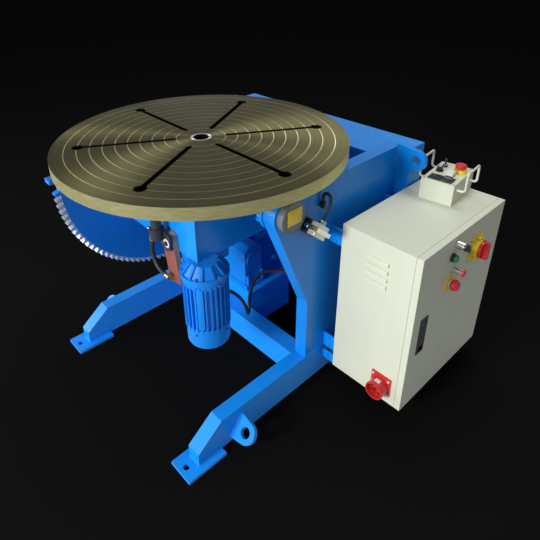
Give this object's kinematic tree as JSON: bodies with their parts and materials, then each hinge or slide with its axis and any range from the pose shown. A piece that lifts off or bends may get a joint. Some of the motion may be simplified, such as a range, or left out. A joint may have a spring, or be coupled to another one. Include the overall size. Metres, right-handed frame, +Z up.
{
  "type": "welding positioner",
  "caption": "Free-standing welding positioner: a slotted round table turns on a carriage that tilts between two uprights through a toothed sector, with a side control cabinet.",
  "frame": {"origin": "on the floor, in the middle of the four anchor holes", "axes": "+Z up, +Y to the back of the machine, +X along the tilt axis towards the control cabinet"},
  "size_m": [1.3322, 1.2523, 0.9395],
  "materials": {
    "black_plastic": "moulded",
    "board": "red-brown laminate with tan edges",
    "brass": "bright",
    "cabinet_paint": "cream powder coat",
    "cable_rubber": "smooth sheath",
    "carbon": "graphite",
    "cover_paint": "grey enamel",
    "device_metal": "polished",
    "device_plastic": "moulded housings and steel plate",
    "door_paint": "cream powder coat, the cabinet's own",
    "frame_paint": "azure gloss enamel",
    "gear_steel": "hobbed and oiled",
    "green_plastic": "moulded",
    "machined_steel": "machined",
    "motor_paint": "azure enamel on castings",
    "plug_metal": "die cast",
    "red_plastic": "moulded",
    "table_metal": "turned face with a warm sheen",
    "yellow_plastic": "moulded",
    "zinc": "zinc plated"
  },
  "bodies": {
    "stand": {"bearing_bolts": "zinc", "cabinet_brackets": "zinc", "cabinet_shell": "cabinet_paint", "cross_beams": "frame_paint", "door_hinges": "zinc", "drive_bed": "frame_paint", "end_covers": "cover_paint", "foot_plates": "frame_paint", "leg_left": "frame_paint", "leg_right": "frame_paint", "lifting_ears": "frame_paint", "motor_cable": "cable_rubber", "pendant_box": "cabinet_paint", "pendant_fittings": "black_plastic", "pendant_guards": "zinc", "pinion_gearbox": "motor_paint", "plug_base": "black_plastic", "plug_cable": "cable_rubber", "plug_hood": "plug_metal", "power_inlet": "red_plastic", "rear_plates": "frame_paint", "rear_posts": "frame_paint", "side_frame_left": "frame_paint", "side_frame_right": "frame_paint", "switchgear": "device_plastic", "tilt_bearings": "frame_paint", "tilt_motor": "motor_paint", "tilt_motor_cowl": "motor_paint", "worm_reducer": "motor_paint"},
    "carriage": {"carriage_box": "frame_paint", "spindle_bearings": "motor_paint", "trunnions": "machined_steel", "sector_gear": "frame_paint", "slew_reducer": "motor_paint", "slew_motor": "motor_paint", "slew_motor_cowl": "motor_paint", "insulator_board": "board", "brush_holder": "black_plastic", "brush_lead": "cable_rubber", "lead_lug": "brass"},
    "turntable": {"table_plate": "table_metal", "table_spindle": "machined_steel", "slew_gear": "gear_steel"},
    "tilt_shaft": {"tilt_pinion": "gear_steel"},
    "slew_shaft": {"slew_pinion": "gear_steel"},
    "brush": {"carbon_brush": "carbon"},
    "door": {"cabinet_door": "door_paint", "door_bezels": "device_metal", "mains_switch_base": "yellow_plastic", "latch_base": "black_plastic"},
    "mains_handle": {"mains_switch_handle": "red_plastic"},
    "selector": {"selector_knob": "black_plastic"},
    "start": {"start_button": "green_plastic"},
    "stop": {"stop_button": "red_plastic"},
    "emergency_stop": {"estop_button": "red_plastic"},
    "latch": {"latch_handle": "black_plastic"},
    "speed_knob": {"pendant_knob": "black_plastic"},
    "toggle": {"pendant_toggle": "black_plastic"},
    "hand_stop": {"pendant_stop": "red_plastic"},
    "plug_bow": {"plug_lever": "device_metal"}
  },
  "joints": [
    {"name": "tilt", "type": "hinge", "parent": "stand", "child": "carriage", "pos_m": [0, -0.139, 0.795], "axis": [1, 0, 0], "range_deg": [0, 90], "deforming": ["motor_cable"]},
    {"name": "table_spin", "type": "hinge", "parent": "carriage", "child": "turntable", "pos_m": [0, -0.145, 0.8995], "axis": [0, 0, 1], "continuous": true},
    {"name": "tilt_pinion_spin", "type": "hinge", "parent": "stand", "child": "tilt_shaft", "pos_m": [-0.2195, 0.07738, 0.33097], "axis": [1, 0, 0], "range_deg": [-590, 5]},
    {"name": "slew_pinion_spin", "type": "hinge", "parent": "carriage", "child": "slew_shaft", "pos_m": [0.10598, -0.23648, 0.65], "axis": [0, 0, 1], "continuous": true},
    {"name": "brush_travel", "type": "slide", "parent": "carriage", "child": "brush", "axis": [0, 0, -1], "range_m": [0, 0.008], "stiffness_N_per_m": 400, "springref_m": -0.01},
    {"name": "door_swing", "type": "hinge", "parent": "stand", "child": "door", "pos_m": [0.745, 0.6013, 0.391], "axis": [0, 0, 1], "range_deg": [0, 110]},
    {"name": "mains_switch_turn", "type": "hinge", "parent": "door", "child": "mains_handle", "pos_m": [0.78, 0.41, 0.597], "axis": [1, 0, 0], "range_deg": [0, 90]},
    {"name": "selector_turn", "type": "hinge", "parent": "door", "child": "selector", "pos_m": [0.786, 0.26, 0.676], "axis": [1, 0, 0], "range_deg": [-45, 45]},
    {"name": "start_push", "type": "slide", "parent": "door", "child": "start", "axis": [-1, 0, 0], "range_m": [0, 0.004], "stiffness_N_per_m": 600, "springref_m": -0.002},
    {"name": "stop_push", "type": "slide", "parent": "door", "child": "stop", "axis": [-1, 0, 0], "range_m": [0, 0.004], "stiffness_N_per_m": 600, "springref_m": -0.002},
    {"name": "emergency_push", "type": "slide", "parent": "door", "child": "emergency_stop", "axis": [-1, 0, 0], "range_m": [0, 0.005], "stiffness_N_per_m": 800, "springref_m": -0.002},
    {"name": "latch_lift", "type": "hinge", "parent": "door", "child": "latch", "pos_m": [0.752, 0.132, 0.438], "axis": [0, -1, 0], "range_deg": [0, 60]},
    {"name": "speed_knob_turn", "type": "hinge", "parent": "stand", "child": "speed_knob", "pos_m": [0.55024, 0.49621, 0.785], "axis": [0, 0, 1], "range_deg": [-135, 135]},
    {"name": "toggle_tip", "type": "hinge", "parent": "stand", "child": "toggle", "pos_m": [0.54502, 0.54594, 0.786], "axis": [0.9945, 0.1045, 0], "range_deg": [-15, 15]},
    {"name": "hand_stop_push", "type": "slide", "parent": "stand", "child": "hand_stop", "axis": [0, 0, -1], "range_m": [0, 0.004], "stiffness_N_per_m": 800, "springref_m": -0.002},
    {"name": "plug_bow_swing", "type": "hinge", "parent": "stand", "child": "plug_bow", "pos_m": [0.43, -0.047, 0.72], "axis": [0, 0.766, -0.6428], "range_deg": [0, 100]}
  ],
  "couplings": [
    {"joint": "tilt_pinion_spin", "follows": "tilt", "ratio": -6.5294},
    {"joint": "slew_pinion_spin", "follows": "table_spin", "ratio": -2.5}
  ]
}
